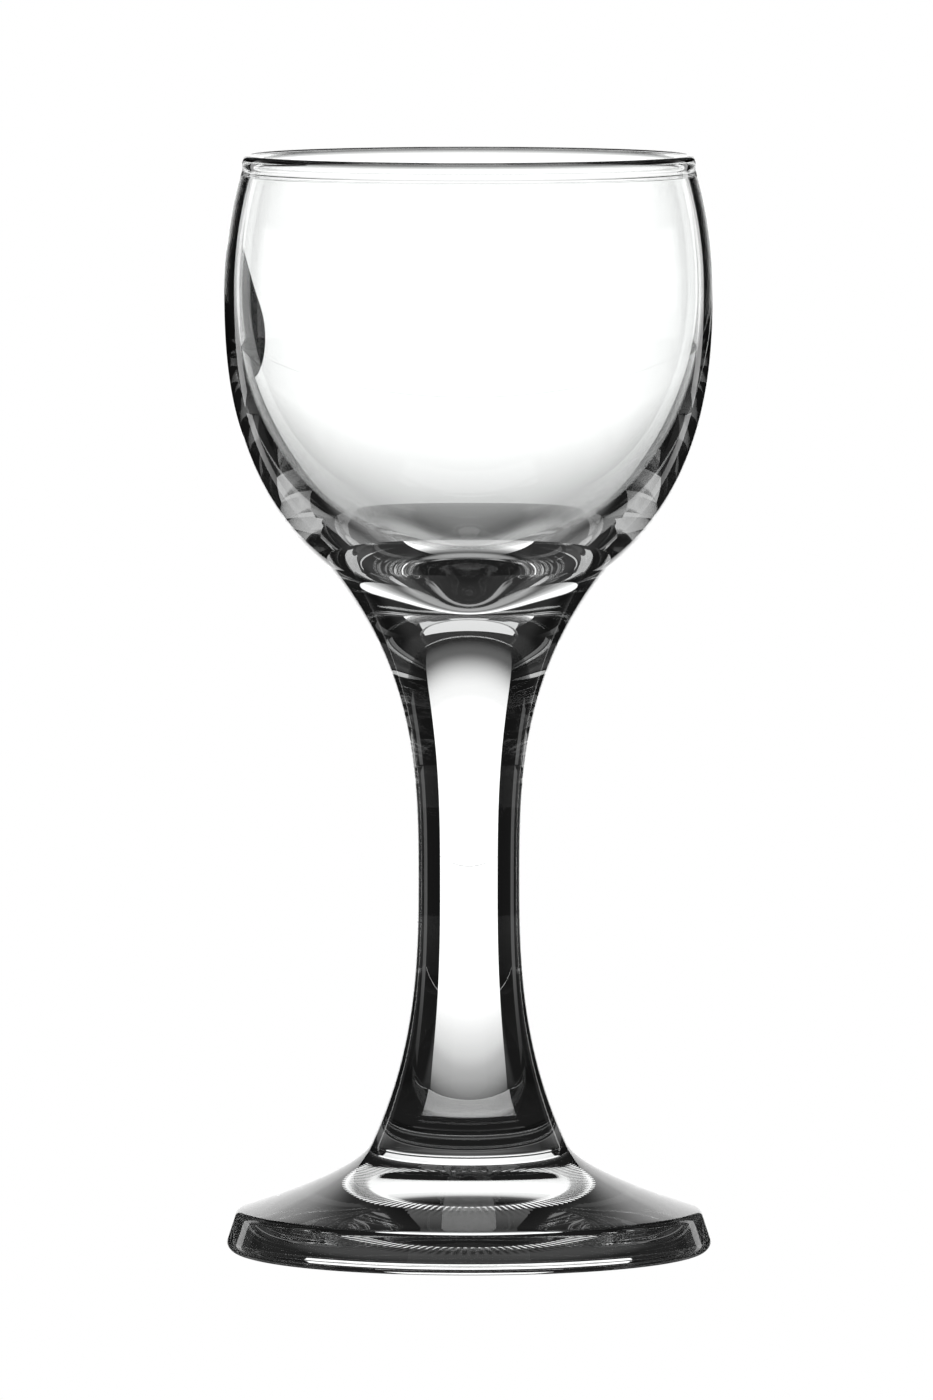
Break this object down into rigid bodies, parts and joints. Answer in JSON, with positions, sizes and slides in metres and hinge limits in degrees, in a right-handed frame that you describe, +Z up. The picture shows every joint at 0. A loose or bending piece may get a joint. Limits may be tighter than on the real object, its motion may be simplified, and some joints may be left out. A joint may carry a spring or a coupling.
{
  "type": "liqueur glass",
  "caption": "Small clear stemmed glass with a rounded bowl, a slim waisted solid stem and a thick round foot, for serving short measures of liqueur.",
  "frame": {"origin": "middle of the foot's resting plane, on the glass's axis", "axes": "+Z up along the axis of the stem, +Y away from the viewer, +X to the viewer's right"},
  "size_m": [0.0498, 0.0498, 0.112],
  "materials": {
    "bowl_glass": "clear, fire polished, smooth",
    "stem_glass": "clear, smooth, solid",
    "foot_glass": "clear, smooth, with a fine ribbed ring underneath"
  },
  "bodies": {
    "root": {"bowl": "bowl_glass", "stem": "stem_glass", "foot": "foot_glass"}
  },
  "joints": []
}
